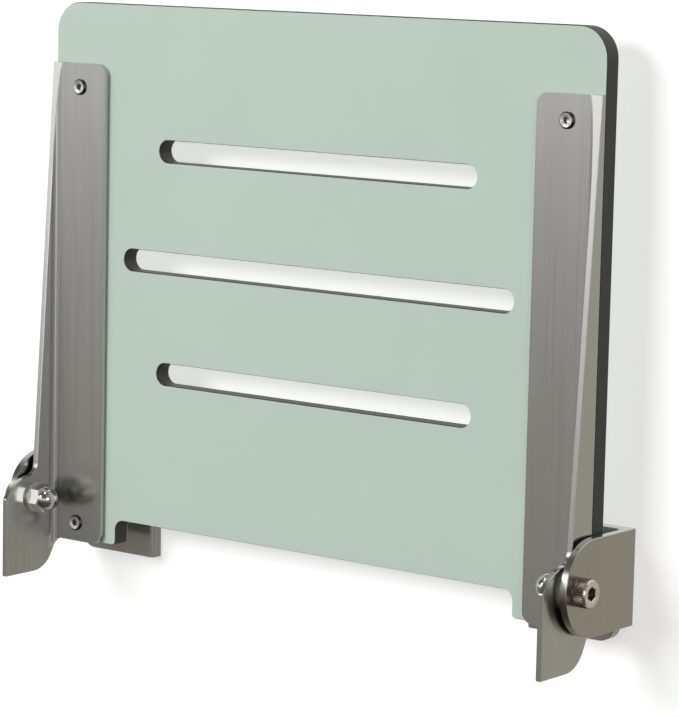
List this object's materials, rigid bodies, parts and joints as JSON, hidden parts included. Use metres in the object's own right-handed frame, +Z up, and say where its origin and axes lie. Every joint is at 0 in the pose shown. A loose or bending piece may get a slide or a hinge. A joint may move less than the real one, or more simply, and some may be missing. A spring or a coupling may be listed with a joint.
{
  "type": "folding shower seat",
  "caption": "Wall-mounted folding shower seat: slotted laminate board on two stainless arms that pivot in wall brackets, shown folded up.",
  "frame": {"origin": "on the wall's surface, midway between the two brackets, at the height of the pivots: the centre of the four wall holes", "axes": "+X along the wall, to the right for a viewer who faces it; +Y into the wall; +Z up. The seat is stored folded up against the wall"},
  "size_m": [0.4834, 0.09, 0.3948],
  "materials": {
    "laminate_face": "pale green compact-laminate face, satin with a very fine texture",
    "laminate_core": "near-black compact-laminate core, smooth machined edge",
    "brushed_stainless": "stainless angle, fine brushing along its length",
    "polished_stainless": "bright stainless fasteners",
    "brass_insert": "turned brass",
    "nylon": "natural nylon, smooth"
  },
  "bodies": {
    "wall_brackets": {"left_wall_bracket": "brushed_stainless", "left_pivot_screw": "polished_stainless", "left_nut_washer": "polished_stainless", "left_cap_nut": "polished_stainless", "right_wall_bracket": "brushed_stainless", "right_pivot_screw": "polished_stainless", "right_nut_washer": "polished_stainless", "right_cap_nut": "polished_stainless"},
    "seat": {"seat_core": "laminate_core", "seat_top_face": "laminate_face", "seat_under_face": "laminate_face", "left_arm": "brushed_stainless", "left_pivot_bush": "nylon", "left_spacer_washer": "nylon", "left_arm_screws": "polished_stainless", "left_arm_inserts": "brass_insert", "right_arm": "brushed_stainless", "right_pivot_bush": "nylon", "right_spacer_washer": "nylon", "right_arm_screws": "polished_stainless", "right_arm_inserts": "brass_insert"}
  },
  "joints": [
    {"name": "seat_fold", "type": "hinge", "parent": "wall_brackets", "child": "seat", "pos_m": [0, -0.0616, 0], "axis": [1, 0, 0], "range_deg": [0, 90]}
  ]
}
